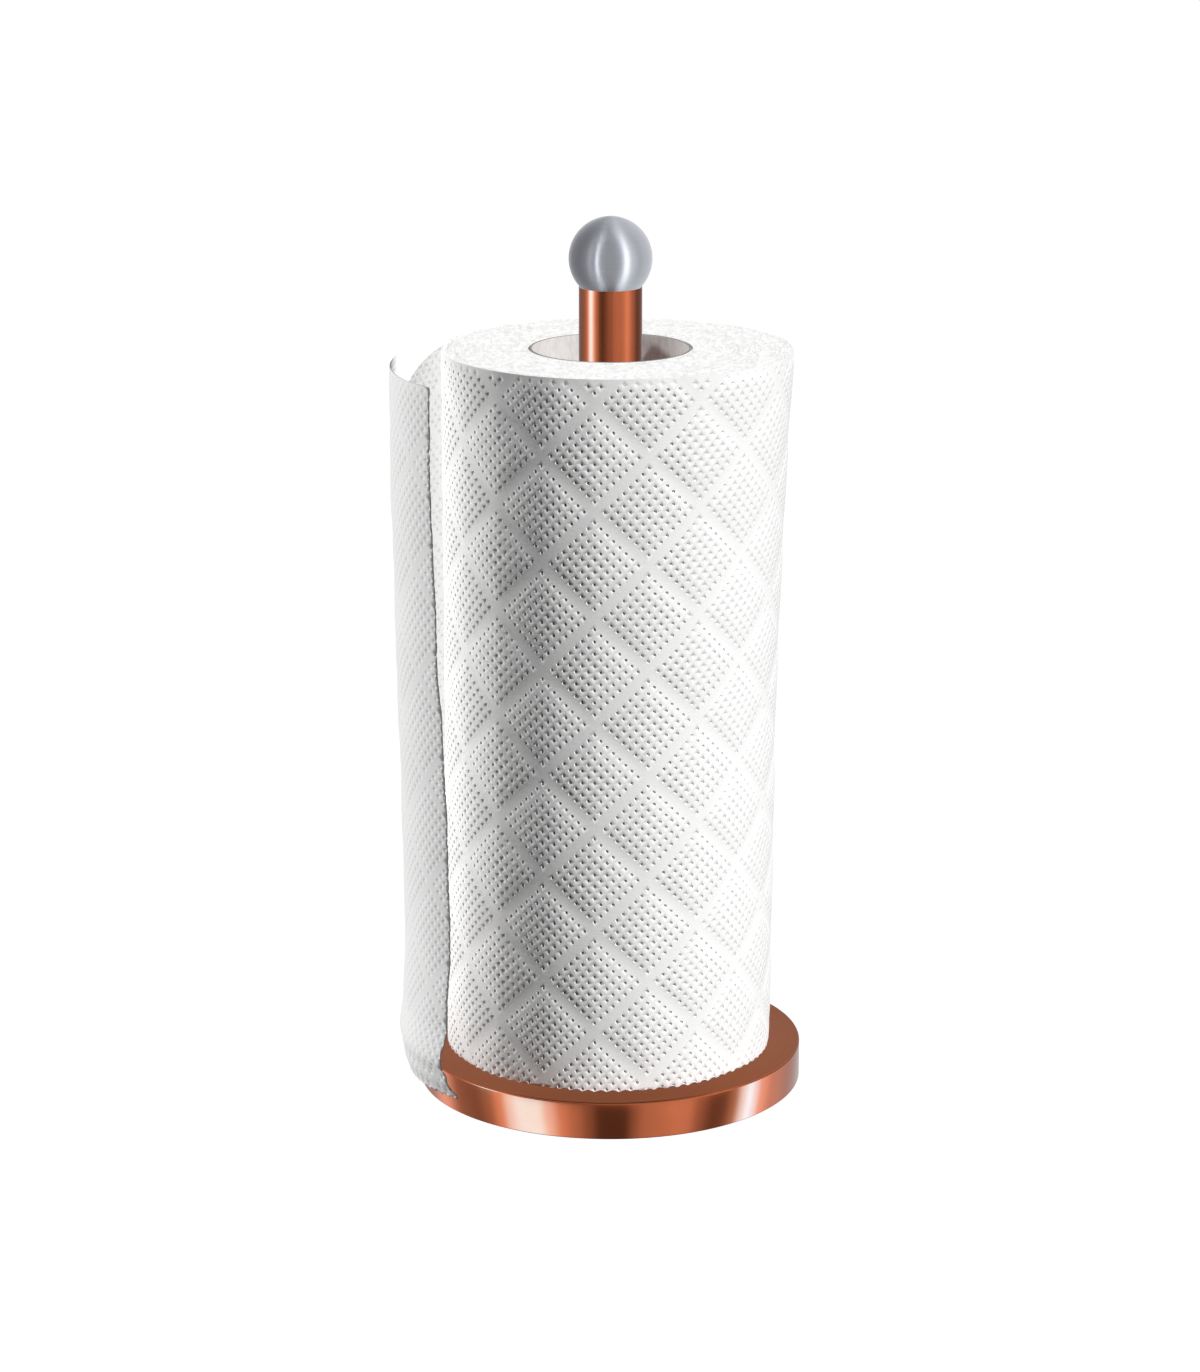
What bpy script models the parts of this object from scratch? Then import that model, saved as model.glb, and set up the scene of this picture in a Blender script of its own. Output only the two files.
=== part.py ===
"""Upright paper towel holder: a weighted round base, a tube pole, a ball on top, and a roll of towel.

Metres, +Z up. The origin is on the pole's axis, at the underside of the foot pad.
"""

import math

import bmesh
import bpy
from mathutils import Vector

# Gap kept between solids that touch on the real object.
GAP = 0.0003

# Base
BASE_RADIUS = 0.0625
BASE_HEIGHT = 0.0128
COVER_WALL = 0.0009
COVER_EDGE_RADIUS = 0.0012
PAD_THICKNESS = 0.0025
PAD_INSET = 0.0012
PAD_STAND_OUT = 0.0006

# Pole and the plugs pressed into its ends
TUBE_RADIUS = 0.0100
TUBE_WALL = 0.0010
TUBE_CHAMFER = 0.0002
TUBE_MOUTH_LAND = 0.0003
PLUG_END_WALL = 0.0030
PLUG_CHAMFER = 0.0006

# Ball on top of the pole
OVERALL_HEIGHT = 0.2847
BALL_RADIUS = 0.0132
BALL_WALL = 0.0008
BOSS_RADIUS = 0.0050
BOSS_COLLAR_RADIUS = 0.0062
BOSS_HEIGHT = 0.0085

# Screw, stud and washers
THREAD_RADIUS = 0.0030
THREAD_PITCH = 0.0010
THREAD_DEPTH = 0.0006
THREAD_CLEARANCE = 0.0003
SCREW_ENGAGEMENT = 0.0090
STUD_ENGAGEMENT = 0.0070
HEAD_RADIUS = 0.0055
HEAD_HEIGHT = 0.0024
SOCKET_ACROSS_FLATS = 0.0040
SOCKET_DEPTH = 0.0014
FLAT_WASHER_RADIUS = 0.0080
FLAT_WASHER_THICKNESS = 0.0010
LOCK_WASHER_RADIUS = 0.0056
LOCK_WASHER_THICKNESS = 0.0011
LOCK_WASHER_SLIT = 0.0007
COUNTERBORE_CLEARANCE = 0.0010

# Roll of towel
ROLL_HEIGHT = 0.2300
ROLL_RADIUS = 0.0538
CORE_BORE_RADIUS = 0.0248
CORE_WALL = 0.0009

# Loose end of the towel: it leaves the roll at an angle and curls more towards its free edge.
SHEET_LENGTH = 0.1100
SHEET_THICKNESS = 0.0008
SHEET_LEAVE_ANGLE = math.radians(141)
SHEET_CURL = math.radians(80)
SHEET_CURL_POWER = 1.5

# Fineness of round pieces
SIDES_LARGE = 72
SIDES_MEDIUM = 40
SIDES_SMALL = 24
ARC_STEPS_EDGE = 4
ARC_STEPS_BALL = 8
SHEET_STEPS = 20
MERGE_DISTANCE = 0.00001
SHARP_ANGLE = math.radians(40)

# Heights and radii that follow from the sizes above
cover_inner_radius = BASE_RADIUS - COVER_WALL
weight_bottom = PAD_THICKNESS + GAP
weight_top = BASE_HEIGHT - COVER_WALL - GAP
tube_bore = TUBE_RADIUS - TUBE_WALL
plug_radius = tube_bore - GAP
tube_bottom = BASE_HEIGHT + GAP
ball_z = OVERALL_HEIGHT - BALL_RADIUS
ball_inner_radius = BALL_RADIUS - BALL_WALL
tube_mouth_radius = TUBE_RADIUS - TUBE_MOUTH_LAND
ball_hole_radius = (BOSS_RADIUS + GAP) * BALL_RADIUS / ball_inner_radius
ball_bottom = ball_z - math.sqrt(BALL_RADIUS**2 - ball_hole_radius**2)
thread_hole_radius = THREAD_RADIUS + THREAD_CLEARANCE
roll_bottom = BASE_HEIGHT + GAP
core_outer_radius = CORE_BORE_RADIUS + CORE_WALL

# The screw, its two washers and their gaps stack up inside the weight's counterbore.
head_bottom = weight_bottom + GAP
head_top = head_bottom + HEAD_HEIGHT
lock_washer_bottom = head_top + GAP
flat_washer_bottom = lock_washer_bottom + LOCK_WASHER_THICKNESS + GAP
counterbore_top = flat_washer_bottom + FLAT_WASHER_THICKNESS + GAP
counterbore_radius = FLAT_WASHER_RADIUS + COUNTERBORE_CLEARANCE


def clear_scene():
    for obj in list(bpy.data.objects):
        bpy.data.objects.remove(obj)


def new_collection(name):
    collection = bpy.data.collections.new(name)
    bpy.context.scene.collection.children.link(collection)
    return collection


def metal(name, color, roughness):
    return surface(name, color, roughness, metallic=1.0)


def surface(name, color, roughness, metallic=0.0):
    material = bpy.data.materials.new(name)
    material.use_nodes = True
    shader = material.node_tree.nodes["Principled BSDF"]
    shader.inputs["Base Color"].default_value = (*color, 1.0)
    shader.inputs["Roughness"].default_value = roughness
    shader.inputs["Metallic"].default_value = metallic
    return material


def add_part(name, mesh, material):
    mesh.materials.append(material)
    obj = bpy.data.objects.new(name, mesh)
    holder.objects.link(obj)
    return obj


def mesh_from(bm, name):
    mesh = bpy.data.meshes.new(name)
    bm.to_mesh(mesh)
    bm.free()
    return mesh


def shade(obj):
    obj.data.shade_smooth()
    obj.data.set_sharp_from_angle(angle=SHARP_ANGLE)


def apply_modifiers(obj):
    """Keeps the evaluated shape, so that a Boolean or smooth shading works on it."""
    graph = bpy.context.evaluated_depsgraph_get()
    obj.data = bpy.data.meshes.new_from_object(obj.evaluated_get(graph), depsgraph=graph)
    obj.modifiers.clear()


def profile_mesh(name, points, closed):
    """An outline in the XZ plane, as (radius, height) pairs from the top down the outer side."""
    bm = bmesh.new()
    verts = [bm.verts.new((radius, 0.0, height)) for radius, height in points]
    ends = zip(verts, verts[1:] + verts[:1] if closed else verts[1:])
    for a, b in ends:
        bm.edges.new((a, b))
    return mesh_from(bm, name)


def cylinder_mesh(name, sides, radius, bottom, top):
    bm = bmesh.new()
    bmesh.ops.create_cone(
        bm,
        cap_ends=True,
        segments=sides,
        radius1=radius,
        radius2=radius,
        depth=top - bottom,
    )
    bmesh.ops.translate(bm, vec=(0.0, 0.0, (bottom + top) / 2), verts=bm.verts)
    return mesh_from(bm, name)


def box_mesh(name, size, centre):
    bm = bmesh.new()
    bmesh.ops.create_cube(bm, size=1.0)
    bmesh.ops.scale(bm, vec=size, verts=bm.verts)
    bmesh.ops.translate(bm, vec=centre, verts=bm.verts)
    return mesh_from(bm, name)


def add_screw(obj, sides):
    screw = obj.modifiers.new("Turn", "SCREW")
    screw.axis = "Z"
    screw.steps = sides
    screw.render_steps = sides
    screw.use_merge_vertices = True
    screw.merge_threshold = MERGE_DISTANCE


def turned(name, points, material, sides, closed=True):
    """A solid turned from a closed outline."""
    obj = add_part(name, profile_mesh(name, points, closed), material)
    add_screw(obj, sides)
    apply_modifiers(obj)
    shade(obj)
    return obj


def turned_shell(name, points, wall, material, sides):
    """A shell turned from an open outline of its outer side, with its wall inside that."""
    obj = add_part(name, profile_mesh(name, points, closed=False), material)
    add_screw(obj, sides)
    solidify = obj.modifiers.new("Wall", "SOLIDIFY")
    solidify.thickness = wall
    solidify.offset = -1
    solidify.use_even_offset = True
    apply_modifiers(obj)
    shade(obj)
    return obj


def tube_points(inner, outer, bottom, top):
    """Outline of a plain tube or washer."""
    return [(outer, top), (outer, bottom), (inner, bottom), (inner, top)]


def arc(centre, radius, start, end, steps):
    """Points round an arc in the outline's plane, angles from +X towards +Z."""
    angles = [start + (end - start) * i / steps for i in range(steps + 1)]
    return [(centre[0] + radius * math.cos(a), centre[1] + radius * math.sin(a)) for a in angles]


def cut(obj, cutter_mesh):
    """Takes the cutter's volume out of the part and keeps the cutter with the other helpers."""
    cutter = bpy.data.objects.new(obj.name + "_cutter", cutter_mesh)
    cutters.objects.link(cutter)
    cutter.hide_render = True
    cutter.display_type = "WIRE"
    boolean = obj.modifiers.new("Cut", "BOOLEAN")
    boolean.operation = "DIFFERENCE"
    boolean.object = cutter


def thread_points(bottom, top):
    """Outer side of a threaded shank, from the top down, as one V groove to each pitch."""
    turns = int((top - bottom) / THREAD_PITCH)
    root = THREAD_RADIUS - THREAD_DEPTH
    points = [(root, top)]
    for turn in range(turns):
        crest = top - (turn + 0.5) * THREAD_PITCH
        points += [(THREAD_RADIUS, crest), (root, crest - 0.5 * THREAD_PITCH)]
    if points[-1][1] - bottom > 0.1 * THREAD_PITCH:
        points.append((root, bottom))
    return points


def base_cover():
    outer_side = [(thread_hole_radius, BASE_HEIGHT)]
    corner = (BASE_RADIUS - COVER_EDGE_RADIUS, BASE_HEIGHT - COVER_EDGE_RADIUS)
    outer_side += arc(corner, COVER_EDGE_RADIUS, math.pi / 2, 0, ARC_STEPS_EDGE)
    outer_side.append((BASE_RADIUS, PAD_STAND_OUT))
    turned_shell("base_cover", outer_side, COVER_WALL, copper, SIDES_LARGE)


def base_weight():
    radius = cover_inner_radius - GAP
    chamfer = COVER_EDGE_RADIUS
    outline = [
        (radius - chamfer, weight_top),
        (radius, weight_top - chamfer),
        (radius, weight_bottom),
        (counterbore_radius, weight_bottom),
        (counterbore_radius, counterbore_top),
        (thread_hole_radius, counterbore_top),
        (thread_hole_radius, weight_top),
    ]
    turned("base_weight", outline, iron, SIDES_LARGE)


def foot_pad():
    radius = cover_inner_radius - PAD_INSET
    mesh = cylinder_mesh("foot_pad", SIDES_LARGE, radius, 0.0, PAD_THICKNESS)
    shade(add_part("foot_pad", mesh, rubber))


def flat_washer():
    top = flat_washer_bottom + FLAT_WASHER_THICKNESS
    outline = tube_points(thread_hole_radius, FLAT_WASHER_RADIUS, flat_washer_bottom, top)
    turned("flat_washer", outline, zinc, SIDES_SMALL)


def lock_washer():
    top = lock_washer_bottom + LOCK_WASHER_THICKNESS
    outline = tube_points(thread_hole_radius, LOCK_WASHER_RADIUS, lock_washer_bottom, top)
    washer = turned("lock_washer", outline, zinc, SIDES_SMALL)
    size = (2 * LOCK_WASHER_RADIUS, LOCK_WASHER_SLIT, 3 * LOCK_WASHER_THICKNESS)
    centre = (LOCK_WASHER_RADIUS, 0.0, lock_washer_bottom + LOCK_WASHER_THICKNESS / 2)
    cut(washer, box_mesh("lock_washer_slit", size, centre))


def pole_screw():
    tip = tube_bottom + SCREW_ENGAGEMENT
    outline = [(0.0, tip), (THREAD_RADIUS - 2 * THREAD_DEPTH, tip)]
    outline += thread_points(head_top, tip - THREAD_DEPTH)
    outline += [(HEAD_RADIUS, head_top), (HEAD_RADIUS, head_bottom), (0.0, head_bottom)]
    screw = turned("pole_screw", outline, zinc, SIDES_SMALL, closed=False)
    socket_radius = SOCKET_ACROSS_FLATS / 2 / math.cos(math.pi / 6)
    low, high = head_bottom - SOCKET_DEPTH, head_bottom + SOCKET_DEPTH
    cut(screw, cylinder_mesh("pole_screw_socket", 6, socket_radius, low, high))


def seat_height(radius):
    """Height at which something of this radius meets the ball from below."""
    return ball_z - math.sqrt(BALL_RADIUS**2 - radius**2) - GAP


def pole_tube():
    """The tube's upper end is countersunk, so that the ball sits in its mouth."""
    outline = [
        (TUBE_RADIUS, seat_height(tube_mouth_radius)),
        (TUBE_RADIUS, tube_bottom + TUBE_CHAMFER),
        (TUBE_RADIUS - TUBE_CHAMFER, tube_bottom),
        (tube_bore, tube_bottom),
        (tube_bore, seat_height(tube_bore)),
        (tube_mouth_radius, seat_height(tube_mouth_radius)),
    ]
    turned("pole_tube", outline, copper, SIDES_MEDIUM)


def plug_points(mouth, end):
    """Outline of a plug from its threaded mouth to its closed end, whichever is the higher."""
    way = 1 if end > mouth else -1
    floor = end - way * PLUG_END_WALL
    outline = [
        (0.0, end),
        (plug_radius - PLUG_CHAMFER, end),
        (plug_radius, end - way * PLUG_CHAMFER),
        (plug_radius, mouth),
        (thread_hole_radius, mouth),
        (thread_hole_radius, floor),
        (0.0, floor),
    ]
    return outline if way > 0 else outline[::-1]


def lower_plug():
    end = tube_bottom + SCREW_ENGAGEMENT + THREAD_PITCH + PLUG_END_WALL
    turned("lower_plug", plug_points(tube_bottom, end), zinc, SIDES_MEDIUM, closed=False)


def upper_plug():
    mouth = ball_bottom - GAP
    end = mouth - STUD_ENGAGEMENT - THREAD_PITCH - PLUG_END_WALL
    turned("upper_plug", plug_points(mouth, end), zinc, SIDES_MEDIUM, closed=False)


def ball_stud():
    bottom = ball_bottom - GAP - STUD_ENGAGEMENT
    top = ball_bottom + STUD_ENGAGEMENT
    tip_radius = THREAD_RADIUS - 2 * THREAD_DEPTH
    outline = [(0.0, top), (tip_radius, top)]
    outline += thread_points(bottom + THREAD_DEPTH, top - THREAD_DEPTH)
    outline += [(tip_radius, bottom), (0.0, bottom)]
    turned("ball_stud", outline, zinc, SIDES_SMALL, closed=False)


def ball_boss():
    """Threaded boss inside the ball: a spigot in the lower shell's hole under a wider collar."""
    collar = ball_z - math.sqrt(ball_inner_radius**2 - BOSS_COLLAR_RADIUS**2) + GAP
    top = ball_bottom + BOSS_HEIGHT
    outline = [
        (BOSS_COLLAR_RADIUS, top),
        (BOSS_COLLAR_RADIUS, collar),
        (BOSS_RADIUS, collar),
        (BOSS_RADIUS, ball_bottom),
        (thread_hole_radius, ball_bottom),
        (thread_hole_radius, top),
    ]
    turned("ball_boss", outline, zinc, SIDES_SMALL)


def ball_shells():
    """Two pressed cups that meet at the ball's widest line; the lower one has the boss's hole."""
    middle = (0.0, ball_z)
    half_seam = math.asin(GAP / 2 / BALL_RADIUS)
    upper = arc(middle, BALL_RADIUS, math.pi / 2, half_seam, ARC_STEPS_BALL)
    hole_angle = -math.acos(ball_hole_radius / BALL_RADIUS)
    lower = arc(middle, BALL_RADIUS, -half_seam, hole_angle, ARC_STEPS_BALL)
    turned_shell("ball_upper_shell", upper, BALL_WALL, steel, SIDES_MEDIUM)
    turned_shell("ball_lower_shell", lower, BALL_WALL, steel, SIDES_MEDIUM)


def roll_core():
    top = roll_bottom + ROLL_HEIGHT
    outline = tube_points(CORE_BORE_RADIUS, core_outer_radius, roll_bottom, top)
    turned("roll_core", outline, card, SIDES_LARGE)


def wound_paper():
    top = roll_bottom + ROLL_HEIGHT
    outline = tube_points(core_outer_radius + GAP, ROLL_RADIUS, roll_bottom, top)
    turned("wound_paper", outline, tissue, SIDES_LARGE)


def sheet_line():
    """The loose end seen from above, as points from the roll to the free edge.

    It starts along the roll's tangent and turns in faster towards the free edge.
    """
    start_radius = ROLL_RADIUS + GAP + SHEET_THICKNESS / 2
    place = Vector((math.cos(SHEET_LEAVE_ANGLE), math.sin(SHEET_LEAVE_ANGLE))) * start_radius
    tangent = SHEET_LEAVE_ANGLE + math.pi / 2
    step = SHEET_LENGTH / SHEET_STEPS
    points = [place.copy()]
    for i in range(SHEET_STEPS):
        heading = tangent + SHEET_CURL * ((i + 0.5) / SHEET_STEPS) ** SHEET_CURL_POWER
        place += step * Vector((math.cos(heading), math.sin(heading)))
        points.append(place.copy())
    return points


def loose_sheet():
    bm = bmesh.new()
    bottom = [bm.verts.new((p.x, p.y, roll_bottom)) for p in sheet_line()]
    edges = [bm.edges.new(pair) for pair in zip(bottom, bottom[1:])]
    raised = bmesh.ops.extrude_edge_only(bm, edges=edges)["geom"]
    top = [v for v in raised if isinstance(v, bmesh.types.BMVert)]
    bmesh.ops.translate(bm, vec=(0.0, 0.0, ROLL_HEIGHT), verts=top)
    obj = add_part("loose_sheet", mesh_from(bm, "loose_sheet"), tissue)
    solidify = obj.modifiers.new("Thickness", "SOLIDIFY")
    solidify.thickness = SHEET_THICKNESS
    solidify.offset = 0
    shade(obj)


clear_scene()
holder = new_collection("paper_towel_holder")
cutters = new_collection("cutters")

copper = metal("copper", (0.60, 0.22, 0.09), 0.25)
steel = metal("brushed_steel", (0.56, 0.58, 0.62), 0.30)
iron = metal("cast_iron", (0.10, 0.10, 0.10), 0.60)
zinc = metal("zinc_steel", (0.62, 0.62, 0.60), 0.35)
rubber = surface("black_rubber", (0.03, 0.03, 0.03), 0.90)
card = surface("grey_card", (0.55, 0.54, 0.52), 0.90)
tissue = surface("white_tissue", (0.90, 0.90, 0.89), 0.95)

base_cover()
base_weight()
foot_pad()
pole_screw()
lock_washer()
flat_washer()
pole_tube()
lower_plug()
upper_plug()
ball_stud()
ball_boss()
ball_shells()
roll_core()
wound_paper()
loose_sheet()
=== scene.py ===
"""Finished look of an upright paper towel holder: copper base and pole, steel ball, embossed towel.

Metres, +Z up, front at -Y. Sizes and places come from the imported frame.
"""

import math

import bmesh
import bpy
from mathutils import Matrix, Vector, noise


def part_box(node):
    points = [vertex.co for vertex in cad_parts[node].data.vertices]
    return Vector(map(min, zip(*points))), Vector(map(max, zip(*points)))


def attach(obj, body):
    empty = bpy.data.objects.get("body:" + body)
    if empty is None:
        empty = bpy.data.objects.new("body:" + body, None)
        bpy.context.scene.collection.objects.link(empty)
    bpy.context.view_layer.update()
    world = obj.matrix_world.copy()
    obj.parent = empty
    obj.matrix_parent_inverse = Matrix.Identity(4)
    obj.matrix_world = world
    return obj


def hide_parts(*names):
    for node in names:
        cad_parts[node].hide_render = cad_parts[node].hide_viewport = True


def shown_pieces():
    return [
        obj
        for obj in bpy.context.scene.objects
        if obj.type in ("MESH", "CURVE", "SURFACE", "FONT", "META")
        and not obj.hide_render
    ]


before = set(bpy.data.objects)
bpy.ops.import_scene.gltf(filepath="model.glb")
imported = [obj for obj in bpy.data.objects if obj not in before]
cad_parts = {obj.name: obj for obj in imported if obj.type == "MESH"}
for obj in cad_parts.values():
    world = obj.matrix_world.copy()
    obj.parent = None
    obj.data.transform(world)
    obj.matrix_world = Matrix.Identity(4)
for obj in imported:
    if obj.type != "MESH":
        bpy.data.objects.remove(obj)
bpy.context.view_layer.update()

# Sizes read from the frame
base_low, base_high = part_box("base_cover")
pole_low, pole_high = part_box("pole_tube")
shell_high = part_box("ball_upper_shell")[1]
boss_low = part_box("ball_boss")[0]
core_low, core_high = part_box("roll_core")
towel_low, towel_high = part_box("wound_paper")
base_radius = base_high.x
pole_radius = pole_high.x
ball_radius = shell_high.x
ball_z = shell_high.z - ball_radius
core_radius = core_high.x
roll_radius = towel_high.x
roll_bottom = towel_low.z
roll_top = towel_high.z

# Base, pole and ball
SHEET_METAL = 0.0009
BASE_RIM_RADIUS = 0.0006
BASE_HEM_RADIUS = 0.0003
SCREW_HOLE_RADIUS = 0.0033
POLE_WALL = 0.0010
POLE_EDGE_RADIUS = 0.0002
BALL_WALL = 0.0008
SEAT_GAP = 0.0003
BALL_HOLE_CLEARANCE = 0.0003
OUTER_BALL_STEPS = 48
INNER_BALL_STEPS = 32

# Card core
CORE_WALL = 0.0009
CORE_EDGE_RADIUS = 0.00025

# Towel: diamonds of pressed dots with smooth bands between them
DIAMONDS_AROUND = 10
DOTS = 8
CELL = 0.00276
PIT_RADIUS = 0.00062
PIT_DEPTH = 0.00110
PIT_REACH = 1.1 * PIT_RADIUS
PILLOW = 0.00035
PATTERN_HEIGHT = 0.2018
PATTERN_TURN = math.radians(-5.3)
BULGE = 0.00020
BULGE_SIZE = 0.035
SLACK = 0.0046
SLACK_POWER = 1.3
TIGHT = 0.0008
CRUSHED_EDGE = 0.0030
SCALLOP = 0.0007
SCALLOP_PITCH = CELL * math.sqrt(2)
LAYER_STEP = 0.0011
LAYER_WAVE = 0.00026
LAYER_WAVES_PER_METRE = 90
LAYER_SHIFT = 1.7
LAYER_SIDES = 120
END_SHOULDER = 0.0006

# Loose end of the towel
SHEET_LENGTH = 0.1100
SHEET_THICKNESS = 0.00028
SHEET_LEAVE_ANGLE = math.radians(141)
SHEET_CURL = math.radians(80)
SHEET_CURL_POWER = 1.5
SHEET_ROOT = 0.0090
SHEET_ROOT_SINK = 1.8
SHEET_TOOTH = 0.0007
TEETH_PER_METRE = 900
SHEET_RELIEF = 0.6
SHEET_WAVE = 0.0006
WAVES_ALONG = 18
WAVES_UP = 26

STEPS_ROUND = 144
CIRCLE_STEPS = 96
MERGE = 0.000004


# ---------------------------------------------------------------- materials


def material(name, color, roughness, metallic=0.0):
    made = bpy.data.materials.new(name)
    made.use_nodes = True
    shader = made.node_tree.nodes["Principled BSDF"]
    shader.inputs["Base Color"].default_value = (*color, 1.0)
    shader.inputs["Roughness"].default_value = roughness
    shader.inputs["Metallic"].default_value = metallic
    return made, shader


def add_node(made, kind, **settings):
    """A node with its properties and, by socket name, its unlinked values."""
    node = made.node_tree.nodes.new(kind)
    for key, value in settings.items():
        if hasattr(node, key):
            setattr(node, key, value)
        else:
            node.inputs[key.replace("_", " ").capitalize()].default_value = value
    return node


def link(made, output, socket):
    made.node_tree.links.new(output, socket)


def object_place(made, scale=(1.0, 1.0, 1.0)):
    """Object coordinates, in metres, stretched by scale."""
    place = add_node(made, "ShaderNodeTexCoord")
    mapping = add_node(made, "ShaderNodeMapping")
    mapping.inputs["Scale"].default_value = scale
    link(made, place.outputs["Object"], mapping.inputs["Vector"])
    return mapping.outputs["Vector"]


def radius_and_height(made, radius_scale, height_scale):
    """A vector of distance from the pole's axis and height, so that a pattern runs round the axis."""
    place = add_node(made, "ShaderNodeTexCoord")
    flat = add_node(made, "ShaderNodeVectorMath", operation="MULTIPLY")
    flat.inputs[1].default_value = (1.0, 1.0, 0.0)
    length = add_node(made, "ShaderNodeVectorMath", operation="LENGTH")
    split = add_node(made, "ShaderNodeSeparateXYZ")
    joined = add_node(made, "ShaderNodeCombineXYZ")
    scaled = add_node(made, "ShaderNodeVectorMath", operation="MULTIPLY")
    scaled.inputs[1].default_value = (radius_scale, height_scale, 0.0)
    link(made, place.outputs["Object"], flat.inputs[0])
    link(made, flat.outputs[0], length.inputs[0])
    link(made, place.outputs["Object"], split.inputs[0])
    link(made, length.outputs["Value"], joined.inputs["X"])
    link(made, split.outputs["Z"], joined.inputs["Y"])
    link(made, joined.outputs[0], scaled.inputs[0])
    return scaled.outputs[0]


def noise_of(made, vector, scale, detail=4.0, roughness=0.55):
    node = add_node(made, "ShaderNodeTexNoise", scale=scale, detail=detail, roughness=roughness)
    link(made, vector, node.inputs["Vector"])
    return node.outputs["Fac"]


def ramp(made, value, low, high, start=0.0, end=1.0):
    """Maps value from start..end to the range or colours low..high."""
    node = add_node(made, "ShaderNodeValToRGB")
    first, last = node.color_ramp.elements
    first.position, last.position = start, end
    first.color = (*low, 1.0) if isinstance(low, tuple) else (low, low, low, 1.0)
    last.color = (*high, 1.0) if isinstance(high, tuple) else (high, high, high, 1.0)
    link(made, value, node.inputs["Fac"])
    return node.outputs["Color"]


def bump(made, shader, height, distance, strength=1.0, below=None):
    """Adds a bump of this height texture, over an earlier bump if one is given."""
    node = add_node(made, "ShaderNodeBump", strength=strength, distance=distance)
    link(made, height, node.inputs["Height"])
    if below:
        link(made, below, node.inputs["Normal"])
    link(made, node.outputs["Normal"], shader.inputs["Normal"])
    return node.outputs["Normal"]


def drive(made, shader, socket, pattern, low, high, start=0.3, end=0.7):
    """Lets a pattern set one of the shader's sockets, between low and high."""
    link(made, ramp(made, pattern, low, high, start, end), shader.inputs[socket])


def multiplied(made, first, second):
    """Two colours multiplied."""
    node = add_node(made, "ShaderNodeMix", data_type="RGBA", blend_type="MULTIPLY")
    node.inputs["Factor"].default_value = 1.0
    link(made, first, node.inputs[6])
    link(made, second, node.inputs[7])
    return node.outputs[2]


def cells_of(made, scale):
    """Distance from the middles of small irregular cells."""
    node = add_node(made, "ShaderNodeTexVoronoi", scale=scale)
    link(made, object_place(made), node.inputs["Vector"])
    return node.outputs["Distance"]


def brushed_round(made, shader, amount):
    """Draws the highlights out across lines that run round the pole's axis."""
    shader.inputs["Anisotropic"].default_value = amount
    shader.inputs["Anisotropic Rotation"].default_value = 0.25
    tangent = add_node(made, "ShaderNodeTangent", direction_type="RADIAL", axis="Z")
    link(made, tangent.outputs["Tangent"], shader.inputs["Tangent"])


def lacquer(shader, roughness, ior):
    shader.inputs["Coat Weight"].default_value = 1.0
    shader.inputs["Coat Roughness"].default_value = roughness
    shader.inputs["Coat IOR"].default_value = ior


COPPER = (0.85, 0.200, 0.062)
COPPER_DEEP = (0.78, 0.172, 0.052)
COPPER_SATIN = (0.82, 0.25, 0.095)
SATIN_DEEP = (0.76, 0.22, 0.082)
STEEL = (0.52, 0.54, 0.59)
STEEL_DARK = (0.48, 0.50, 0.55)
STEEL_LIGHT = (0.57, 0.59, 0.64)
ZINC = (0.62, 0.62, 0.60)
ZINC_YELLOW = (0.66, 0.65, 0.60)
ZINC_BLUE = (0.54, 0.56, 0.58)
IRON = (0.06, 0.06, 0.06)
IRON_DARK = (0.035, 0.034, 0.033)
IRON_LIGHT = (0.10, 0.098, 0.095)
RUBBER = (0.025, 0.025, 0.026)
RUBBER_DARK = (0.016, 0.016, 0.017)
RUBBER_LIGHT = (0.034, 0.034, 0.035)
CARD = (0.72, 0.72, 0.71)
CARD_DARK = (0.50, 0.50, 0.495)
CARD_LIGHT = (0.66, 0.66, 0.655)
CUT_CARD = (0.30, 0.29, 0.27)
CUT_CARD_DARK = (0.16, 0.155, 0.145)
CUT_CARD_LIGHT = (0.40, 0.39, 0.37)
TOWEL = (0.88, 0.88, 0.875)
FIBRES_DARK = (0.83, 0.83, 0.825)
FIBRES_LIGHT = (0.90, 0.90, 0.895)
# The inner ply's colours: the towel's white painted darker, as painted shade on the loose end's inner
# side
INNER_SHADED_DARK = (0.78, 0.78, 0.775)
INNER_SHADED_LIGHT = (0.83, 0.83, 0.825)
LAYERS_DARK = (0.88, 0.88, 0.875)
LAYERS_LIGHT = (0.94, 0.94, 0.935)
# Painted shade: how dark the towel's colour goes at the pits' centres
PIT_SHADE = 0.60


def polished_copper():
    """Lacquered copper plate, polished, with a trace of turning lines and handling smears."""
    made, shader = material("copper_polished", COPPER, 0.2, metallic=1.0)
    tone = noise_of(made, object_place(made), 60.0, detail=3.0)
    drive(made, shader, "Base Color", tone, COPPER_DEEP, COPPER)
    smear = noise_of(made, object_place(made, (1.0, 1.0, 0.35)), 45.0, detail=2.0)
    drive(made, shader, "Roughness", smear, 0.12, 0.18, start=0.35)
    lines = noise_of(made, radius_and_height(made, 300.0, 9000.0), 1.0, detail=2.0)
    bump(made, shader, lines, distance=0.000001)
    lacquer(shader, roughness=0.05, ior=1.5)
    return made


def satin_copper():
    """The base's top, finished with fine rings."""
    made, shader = material("copper_satin", COPPER_SATIN, 0.38, metallic=1.0)
    tone = noise_of(made, object_place(made), 30.0, detail=4.0)
    drive(made, shader, "Base Color", tone, SATIN_DEEP, COPPER_SATIN)
    rings = noise_of(made, radius_and_height(made, 6000.0, 200.0), 1.0, detail=3.0)
    drive(made, shader, "Roughness", rings, 0.34, 0.46)
    bump(made, shader, rings, distance=0.000004)
    brushed_round(made, shader, 0.6)
    return made


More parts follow.
